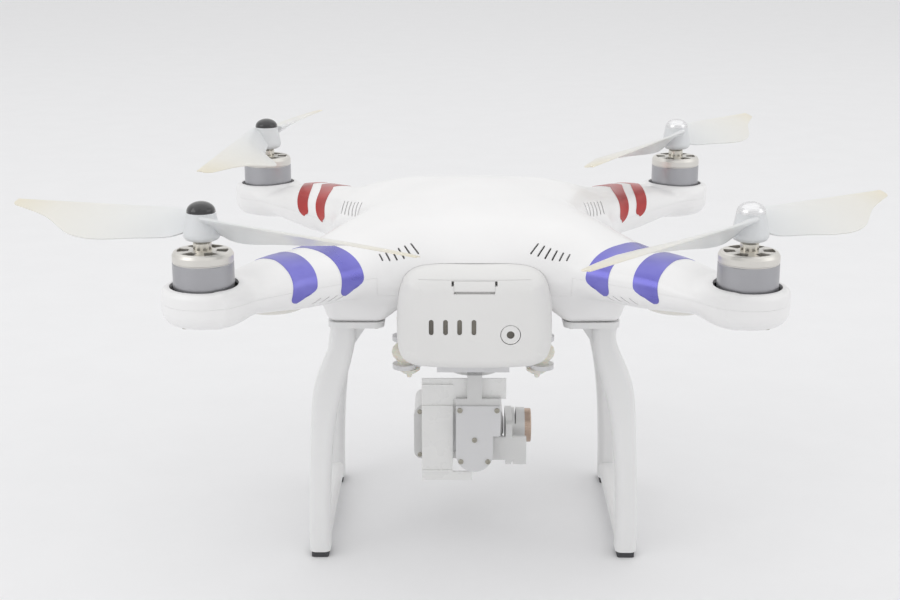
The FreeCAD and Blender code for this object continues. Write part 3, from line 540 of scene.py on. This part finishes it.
def grid_faces(rows, columns):
    faces = []
    for i in range(rows):
        for j in range(columns):
            a = i * (columns + 1) + j
            faces.append((a, a + 1, a + columns + 2, a + columns + 1))
    return faces


def make_band(name, direction, ridge, end, stop, slot):
    """One band wrapped over the arm: straight on the far flank, drifting to its other span on the rear-facing one."""
    rows, columns = 64, 12
    mean_end, end_slant = stop
    points = []
    for i in range(rows + 1):
        share = -1.0 + 2.0 * i / rows
        share = math.copysign(1.0 - (1.0 - abs(share)) ** 1.3, share)
        drift = max(share * direction[1], 0.0) ** 1.1
        inner, outer = (r + (e - r) * drift for r, e in zip(ridge, end))
        middle, half = (inner + outer) / 2.0, (outer - inner) / 2.0
        from_end = (1.0 - abs(share)) * 40.0
        width = half
        if from_end < BAND_CORNER:
            width = half - BAND_CORNER + math.sqrt(BAND_CORNER**2 - (BAND_CORNER - from_end) ** 2)
        for j in range(columns + 1):
            side = -1.0 + 2.0 * j / columns
            turn = math.radians(mean_end + end_slant * side)
            points.append(surface_point(direction, middle + side * width, share * turn))
    centre = (ridge[0] + ridge[1]) / 2.0
    points = settle(hull_field, np.array(points), BAND_PROUD)
    piece = mesh_piece(name, points, grid_faces(rows, columns))
    facing_out(piece, (direction[0] * centre / ROOT2, direction[1] * centre / ROOT2, SEAM_Z))
    thickened(piece, 0.17)
    smooth(piece, 50.0)
    return dress(piece, "airframe", slot)


def make_bands():
    for end, sign, slot in (("rear", -1, "stripe_blue"), ("front", 1, "stripe_red")):
        for side, mirror in (("left", -1), ("right", 1)):
            for place, (ridge, tip) in zip(("inner", "outer"), BANDS[end]):
                band = make_band(f"{end}_{side}_{place}_band", (mirror, sign), ridge, tip, BAND_END_ANGLE[end], slot)
                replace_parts(band, f"{end}_arm_stripes")


# ---------------------------------------------------------------- arm lights


def make_arm_light(name, direction):
    """Long shallow blister under the arm, following the hull and bulging below it."""
    rows, columns = 24, 20
    points, bulge = [], []
    for i in range(rows + 1):
        spoke = i / rows
        for j in range(columns * 2 + 1):
            turn = math.pi * j / columns
            along = LENS_REACH + LENS_HALF * spoke * math.cos(turn)
            angle = math.pi - LENS_HALF_ANGLE * spoke * math.sin(turn)
            points.append(surface_point(direction, along, angle))
            bulge.append(0.12 + LENS_RISE * (1.0 - spoke**2.4))
    points = settle(hull_field, np.array(points), 0.0)
    out = slope_of(hull_field, points)
    out /= np.linalg.norm(out, axis=1)[:, None]
    piece = mesh_piece(name, points + out * np.array(bulge)[:, None], grid_faces(rows, 2 * columns))
    form = bmesh.new()
    form.from_mesh(piece.data)
    bmesh.ops.remove_doubles(form, verts=form.verts, dist=1e-6)
    form.to_mesh(piece.data)
    form.free()
    facing_out(piece, (direction[0] * LENS_REACH / ROOT2, direction[1] * LENS_REACH / ROOT2, SEAM_Z))
    thickened(piece, 0.6)
    smooth(piece, 50.0)
    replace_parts(dress(piece, "airframe", "light_lens"), "arm_light_lenses")


def make_arm_lights():
    for end, y in (("rear", -1), ("front", 1)):
        for side, x in (("left", -1), ("right", 1)):
            make_arm_light(f"{end}_{side}_arm_light", (x, y))


# ---------------------------------------------------------------- battery cap


def cap_solid(name):
    """The battery's rear cap: its outline swept back, with a broad rounding into the rear face."""
    outline, normal = cap_outline()
    up = np.maximum(normal[:, 1], 0.0) ** 2
    down = np.maximum(-normal[:, 1], 0.0) ** 2
    reach = CAP_ROUND_SIDE + (CAP_ROUND_TOP - CAP_ROUND_SIDE) * up + (CAP_ROUND_BOTTOM - CAP_ROUND_SIDE) * down
    rings = [np.column_stack([outline[:, 0], np.full(len(outline), CAP_FRONT_Y), outline[:, 1]])]
    for turn in range(0, 91, 6):
        angle = math.radians(turn)
        inset = outline - normal * (reach * (1.0 - math.cos(angle)))[:, None]
        depth = CAP_REAR_Y + reach * (1.0 - math.sin(angle))
        rings.append(np.column_stack([inset[:, 0], depth, inset[:, 1]]))
    count = len(outline)
    points = np.concatenate(rings)
    faces = []
    for r in range(len(rings) - 1):
        for i in range(count):
            k = (i + 1) % count
            faces.append((r * count + i, r * count + k, (r + 1) * count + k, (r + 1) * count + i))
    faces.append(tuple(range(count)))
    faces.append(tuple(range((len(rings) - 1) * count, len(rings) * count)))
    return closed_piece(name, points, faces)


def slot_outline(centre, width, height):
    """Upright slot with round ends."""
    half, straight = width / 2.0, (height - width) / 2.0
    upper = [(math.cos(math.radians(t)), math.sin(math.radians(t))) for t in range(0, 181, 20)]
    top = [(centre[0] + half * c, centre[1] + straight + half * s) for c, s in upper]
    bottom = [(centre[0] - half * c, centre[1] - straight - half * s) for c, s in upper]
    return top + bottom


def make_battery_cap():
    cap = cap_solid("battery_end_cap")
    latch = duplicate(cap, "battery_latch_pad")
    low, high = LATCH_Z
    seat = block("latch_seat", (LATCH_X - LATCH_HALF, -100.0, low), (LATCH_X + LATCH_HALF, LATCH_BACK_Y, high))
    combine(latch, seat, "INTERSECT")
    gap = 0.12
    room = block(
        "latch_room",
        (LATCH_X - LATCH_HALF - gap, -100.0, low - PRESS_ROOM),
        (LATCH_X + LATCH_HALF + gap, LATCH_BACK_Y + gap, high + gap),
    )
    combine(cap, room, "DIFFERENCE")
    notches = []
    for side in (-1, 1):
        x = LATCH_X + side * (LATCH_HALF + gap + NOTCH[0] / 2.0)
        notches.append(
            block("notch", (x - NOTCH[0] / 2.0, -100.0, high - NOTCH[1]), (x + NOTCH[0] / 2.0, -84.0, high))
        )
    combine(cap, joined("notches", notches), "DIFFERENCE")
    parting = block(
        "parting", (-PARTING_HALF, -100.0, PARTING_Z), (PARTING_HALF, CAP_REAR_Y + 5.0, PARTING_Z + 0.1)
    )
    combine(cap, parting, "DIFFERENCE")
    button = prism("button_hole", circle(BUTTON_AT, BUTTON_RADIUS + 0.25, 64), -100.0, -85.0 + PRESS_ROOM, "y")
    combine(cap, button, "DIFFERENCE")
    slots = [
        prism("led_slot", slot_outline((x, LED_Z), LED_SIZE[0] + 0.2, LED_SIZE[1] + 0.2), -100.0, -86.0, "y")
        for x in LED_X
    ]
    combine(cap, joined("led_slots", slots), "DIFFERENCE")
    smooth(cap)
    smooth(latch)
    # cap and latch take the cap white, whose darker colour is painted shade on their rear-facing side
    dress(cap, "battery", "cap_white", "battery_rear_cap")
    dress(latch, "battery_latch", "cap_white", "battery_latch")


# ---------------------------------------------------------------- finishes


def new_finish(name, **sockets):
    """A material whose shader has these uniform values."""
    material = bpy.data.materials.new(name)
    material.use_nodes = True
    shader = material.node_tree.nodes["Principled BSDF"]
    for socket, value in sockets.items():
        shader.inputs[socket.replace("_", " ")].default_value = value
    return material, material.node_tree, shader


def noise(tree, scale, detail=3.0, stretch=(1.0, 1.0, 1.0), turn=(0.0, 0.0, 0.0)):
    """Noise in the object's own space, with features about 1/scale metres across."""
    place = tree.nodes.new("ShaderNodeTexCoord")
    mapping = tree.nodes.new("ShaderNodeMapping")
    mapping.inputs["Scale"].default_value = stretch
    mapping.inputs["Rotation"].default_value = turn
    texture = tree.nodes.new("ShaderNodeTexNoise")
    texture.inputs["Scale"].default_value = scale
    texture.inputs["Detail"].default_value = detail
    tree.links.new(place.outputs["Object"], mapping.inputs["Vector"])
    tree.links.new(mapping.outputs["Vector"], texture.inputs["Vector"])
    return texture.outputs["Fac"]


def colour_by(tree, shader, driver, stops):
    """Base colour from a ramp of (place, colour) stops."""
    ramp = tree.nodes.new("ShaderNodeValToRGB")
    elements = ramp.color_ramp.elements
    while len(elements) < len(stops):
        elements.new(0.5)
    for element, (place, colour) in zip(elements, stops):
        element.position = place
        element.color = (*colour, 1.0)
    tree.links.new(driver, ramp.inputs["Fac"])
    tree.links.new(ramp.outputs["Color"], shader.inputs["Base Color"])
    return ramp


def roughness_by(tree, shader, driver, low, high):
    spread = tree.nodes.new("ShaderNodeMapRange")
    spread.inputs["From Min"].default_value = 0.3
    spread.inputs["From Max"].default_value = 0.7
    spread.inputs["To Min"].default_value = low
    spread.inputs["To Max"].default_value = high
    tree.links.new(driver, spread.inputs["Value"])
    tree.links.new(spread.outputs["Result"], shader.inputs["Roughness"])


def bump_by(tree, shader, driver, height, strength=1.0):
    """Surface relief, with the height in millimetres."""
    bump = tree.nodes.new("ShaderNodeBump")
    bump.inputs["Distance"].default_value = height * MM
    bump.inputs["Strength"].default_value = strength
    tree.links.new(driver, bump.inputs["Height"])
    tree.links.new(bump.outputs["Normal"], shader.inputs["Normal"])


def shade(colour, factor):
    return tuple(min(1.0, c * factor) for c in colour)


def moulded(name, colour, roughness, grain=0.006, grain_scale=2600.0, spread=0.03, **sockets):
    """Moulded plastic: faint cloudy tone, fine surface grain and patchy gloss."""
    material, tree, shader = new_finish(name, **sockets)
    cloud = noise(tree, 22.0, 4.0)
    colour_by(tree, shader, cloud, [(0.35, shade(colour, 1.0 - spread)), (0.65, colour)])
    roughness_by(tree, shader, noise(tree, 140.0, 3.0), roughness * 0.88, roughness * 1.12)
    bump_by(tree, shader, noise(tree, grain_scale, 2.0), grain)
    return material


def glossy_moulded(name, colour, roughness, spread=0.03, **sockets):
    """Polished moulded plastic: broad cloudy tone and slow drifts of gloss, with no grain."""
    material, tree, shader = new_finish(name, **sockets)
    colour_by(tree, shader, noise(tree, 22.0, 2.0), [(0.35, shade(colour, 1.0 - spread)), (0.65, colour)])
    roughness_by(tree, shader, noise(tree, 35.0, 1.0), roughness * 0.92, roughness * 1.08)
    return material


def machined(name, colour, roughness, stretch=(1.0, 1.0, 22.0), spread=0.12, **sockets):
    """Turned or drawn metal: fine lines across the stretch direction."""
    material, tree, shader = new_finish(name, Metallic=1.0, **sockets)
    lines = noise(tree, 260.0, 5.0, stretch)
    colour_by(tree, shader, lines, [(0.3, shade(colour, 1.0 - spread)), (0.7, colour)])
    roughness_by(tree, shader, lines, roughness * 0.75, roughness * 1.25)
    bump_by(tree, shader, lines, 0.01)
    return material


def bell_metal(name):
    """Turned aluminium: satin grey skirt under a paler, warmer ring."""
    material, tree, shader = new_finish(name, Metallic=0.9)
    place = tree.nodes.new("ShaderNodeTexCoord")
    split = tree.nodes.new("ShaderNodeSeparateXYZ")
    height = tree.nodes.new("ShaderNodeMapRange")
    height.inputs["From Min"].default_value = RING_Z * MM - 0.0006
    height.inputs["From Max"].default_value = RING_Z * MM + 0.0006
    tree.links.new(place.outputs["Object"], split.inputs["Vector"])
    tree.links.new(split.outputs["Z"], height.inputs["Value"])
    colour_by(tree, shader, height.outputs["Result"], [(0.45, (0.42, 0.42, 0.44)), (0.55, (0.74, 0.72, 0.68))])
    lines = noise(tree, 260.0, 5.0, (1.0, 1.0, 22.0))
    roughness_by(tree, shader, lines, 0.28, 0.42)
    bump_by(tree, shader, lines, 0.01)
    return material


def foil(name, deep, bright):
    """Metallised sticker film with a satin run along the arm: a brushed tone whose lighter streaks are partly painted
    sheen standing in for reflected light.
    """
    material, tree, shader = new_finish(name, Metallic=0.72, Coat_Weight=0.35, Coat_Roughness=0.12)
    # brushed tone and painted sheen: the lighter end of the ramp stands in for light reflected along the film
    brushed_tone_and_sheen = noise(tree, 40.0, 3.0, (1.0, 1.0, 2.0))
    colour_by(tree, shader, brushed_tone_and_sheen, [(0.3, deep), (0.7, bright)])
    roughness_by(tree, shader, brushed_tone_and_sheen, 0.26, 0.40)
    bump_by(tree, shader, noise(tree, 900.0, 2.0), 0.01)
    return material


def propeller_plastic(name):
    """Milky nylon, yellowing towards the blade tips."""
    material, tree, shader = new_finish(name, Transmission_Weight=0.18, IOR=1.45)
    place = tree.nodes.new("ShaderNodeTexCoord")
    size = tree.nodes.new("ShaderNodeVectorMath")
    size.operation = "ABSOLUTE"
    tree.links.new(place.outputs["Object"], size.inputs[0])
    centre = tree.nodes.new("ShaderNodeVectorMath")
    centre.operation = "SUBTRACT"
    half = MOTOR_REACH / ROOT2 * MM
    centre.inputs[1].default_value = (half, half, 0.190)
    tree.links.new(size.outputs["Vector"], centre.inputs[0])
    length = tree.nodes.new("ShaderNodeVectorMath")
    length.operation = "LENGTH"
    tree.links.new(centre.outputs["Vector"], length.inputs[0])
    share = tree.nodes.new("ShaderNodeMapRange")
    share.inputs["From Min"].default_value = 0.0
    share.inputs["From Max"].default_value = 0.12
    tree.links.new(length.outputs["Value"], share.inputs["Value"])
    stops = [
        (0.0, (0.80, 0.82, 0.84)), (0.2, (0.86, 0.87, 0.87)), (0.7, (0.88, 0.86, 0.80)), (1.0, (0.86, 0.80, 0.64)),
    ]
    colour_by(tree, shader, share.outputs["Result"], stops)
    roughness_by(tree, shader, noise(tree, 200.0, 3.0), 0.28, 0.38)
    bump_by(tree, shader, noise(tree, 1800.0, 2.0), 0.006)
    return material


def windings_copper(name):
    material, tree, shader = new_finish(name, Metallic=0.9)
    wire = noise(tree, 1500.0, 2.0, (1.0, 1.0, 0.25))
    colour_by(tree, shader, wire, [(0.35, (0.12, 0.05, 0.02)), (0.6, (0.62, 0.34, 0.16))])
    roughness_by(tree, shader, wire, 0.25, 0.5)
    bump_by(tree, shader, wire, 0.08)
    return material


def clear_plastic(name, colour, roughness, transmission):
    material, tree, shader = new_finish(name, Transmission_Weight=transmission, IOR=1.49)
    colour_by(tree, shader, noise(tree, 60.0, 3.0), [(0.35, shade(colour, 0.95)), (0.65, colour)])
    roughness_by(tree, shader, noise(tree, 400.0, 3.0), roughness * 0.8, roughness * 1.2)
    bump_by(tree, shader, noise(tree, 1500.0, 2.0), 0.004)
    return material


def make_finishes():
    white = (0.87, 0.865, 0.865)
    return {
        "hull_white": glossy_moulded("hull_white", white, 0.30, Coat_Weight=0.25, Coat_Roughness=0.12),
        # the cap is the same white as the hull; its darker colour is painted shade on the rear-facing cap
        "cap_white": glossy_moulded(
            "cap_white", (0.79, 0.785, 0.775), 0.32, Coat_Weight=0.2, Coat_Roughness=0.15
        ),
        "skid_white": moulded("skid_white", (0.80, 0.80, 0.80), 0.48, grain=0.02, grain_scale=1800.0),
        "prop_plastic": propeller_plastic("prop_plastic"),
        "light_lens": clear_plastic("light_lens", (0.88, 0.86, 0.80), 0.22, 0.12),
        "stripe_blue": foil("stripe_blue", (0.15, 0.14, 0.52), (0.24, 0.23, 0.66)),
        "stripe_red": foil("stripe_red", (0.36, 0.018, 0.018), (0.54, 0.035, 0.03)),
        "foot_rubber": moulded("foot_rubber", (0.055, 0.055, 0.06), 0.75, grain=0.04, grain_scale=1400.0),
        "damper_rubber": moulded("damper_rubber", (0.80, 0.77, 0.68), 0.5, grain=0.02, Subsurface_Weight=0.15),
        "bell_aluminium": bell_metal("bell_aluminium"),
        "shaft_steel": machined("shaft_steel", (0.72, 0.69, 0.62), 0.22),
        "cap_black": moulded("cap_black", (0.010, 0.010, 0.012), 0.08, spread=0.2, Coat_Weight=0.8),
        "cap_silver": machined("cap_silver", (0.86, 0.86, 0.87), 0.26),
        "screw_steel": machined("screw_steel", (0.46, 0.44, 0.38), 0.30),
        "stator_steel": machined("stator_steel", (0.16, 0.16, 0.17), 0.45),
        "copper": windings_copper("copper"),
        "board_green": moulded("board_green", (0.03, 0.16, 0.07), 0.35, spread=0.3),
        "cell_foil": machined("cell_foil", (0.55, 0.56, 0.58), 0.35, (1.0, 1.0, 1.0)),
        "dark_plastic": moulded("dark_plastic", (0.035, 0.035, 0.04), 0.42, spread=0.2, grain=0.015),
        "lamp_smoke": moulded("lamp_smoke", (0.27, 0.25, 0.21), 0.30, spread=0.75),
        "gimbal_silver": moulded(
            "gimbal_silver", (0.72, 0.72, 0.715), 0.36, grain=0.012, spread=0.06, Metallic=0.2
        ),
        "plate_grey": moulded("plate_grey", (0.74, 0.74, 0.75), 0.42, grain=0.012, spread=0.05, Metallic=0.15),
        "guard_clear": moulded("guard_clear", (0.86, 0.86, 0.85), 0.28, grain=0.002, spread=0.03, Coat_Weight=0.4),
        "motor_bronze": machined("motor_bronze", (0.56, 0.43, 0.35), 0.34),
        "lens_glass": clear_plastic("lens_glass", (0.05, 0.06, 0.10), 0.04, 0.3),
    }


def dress_cad_nodes():
    """Every CAD node takes the finish of its slot in the record."""
    for entry in frame["record"]["subparts"]:
        materials = frame["nodes"][entry["node"]].data.materials
        materials.clear()
        materials.append(FINISHES[entry["material_slot"]])


# ---------------------------------------------------------------- studio


def make_floor():
    floor = mesh_piece(
        "studio_floor", [(-9000, -9000, 0), (9000, -9000, 0), (9000, 9000, 0), (-9000, 9000, 0)], [(0, 1, 2, 3)]
    )
    floor.data.materials.append(moulded("floor_paper", (0.83, 0.83, 0.84), 0.65, grain=0.01, spread=0.012))


def soft_light(name, place, target, size, power, colour=(1.0, 1.0, 1.0)):
    lamp = bpy.data.lights.new(name, "AREA")
    lamp.shape = "RECTANGLE"
    lamp.size, lamp.size_y = size
    lamp.energy = power
    lamp.color = colour
    holder = bpy.data.objects.new(name, lamp)
    bpy.context.scene.collection.objects.link(holder)
    holder.location = place
    holder.rotation_euler = (Vector(target) - Vector(place)).to_track_quat("-Z", "Y").to_euler()


def make_lights():
    middle = (0.0, 0.0, 0.12)
    soft_light("overhead_soft", (0.0, 0.2, 2.2), middle, (3.6, 3.6), 11.5)
    soft_light("left_soft", (-2.0, -1.2, 1.3), middle, (1.6, 1.6), 8.0)
    soft_light("right_soft", (2.2, -0.6, 1.1), middle, (1.6, 1.6), 4.5)
    world = bpy.data.worlds.new("studio")
    world.use_nodes = True
    world.node_tree.nodes["Background"].inputs["Color"].default_value = (1.0, 1.0, 1.0, 1.0)
    world.node_tree.nodes["Background"].inputs["Strength"].default_value = 0.85
    bpy.context.scene.world = world
    bpy.context.scene.view_settings.view_transform = "Standard"


def make_camera():
    lens = bpy.data.cameras.new("rear_camera")
    lens.lens = 62.1
    lens.sensor_width = 36.0
    lens.clip_end = 60.0
    camera = bpy.data.objects.new("rear_camera", lens)
    bpy.context.scene.collection.objects.link(camera)
    camera.location = (-0.0082, -0.8078, 0.3437)
    target = Vector((-0.01229, 0.0, 0.1238))
    camera.rotation_euler = (target - camera.location).to_track_quat("-Z", "Y").to_euler()
    bpy.context.scene.camera = camera


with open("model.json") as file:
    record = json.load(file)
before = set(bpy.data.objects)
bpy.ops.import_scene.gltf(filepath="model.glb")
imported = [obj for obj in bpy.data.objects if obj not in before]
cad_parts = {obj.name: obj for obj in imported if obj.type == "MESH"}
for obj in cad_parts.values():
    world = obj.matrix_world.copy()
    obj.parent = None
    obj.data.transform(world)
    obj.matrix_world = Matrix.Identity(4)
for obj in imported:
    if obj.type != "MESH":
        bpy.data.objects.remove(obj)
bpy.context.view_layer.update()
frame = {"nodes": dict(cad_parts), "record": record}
FINISHES = make_finishes()
dress_cad_nodes()
make_hull()
make_bands()
make_arm_lights()
make_battery_cap()
make_floor()
make_lights()
make_camera()
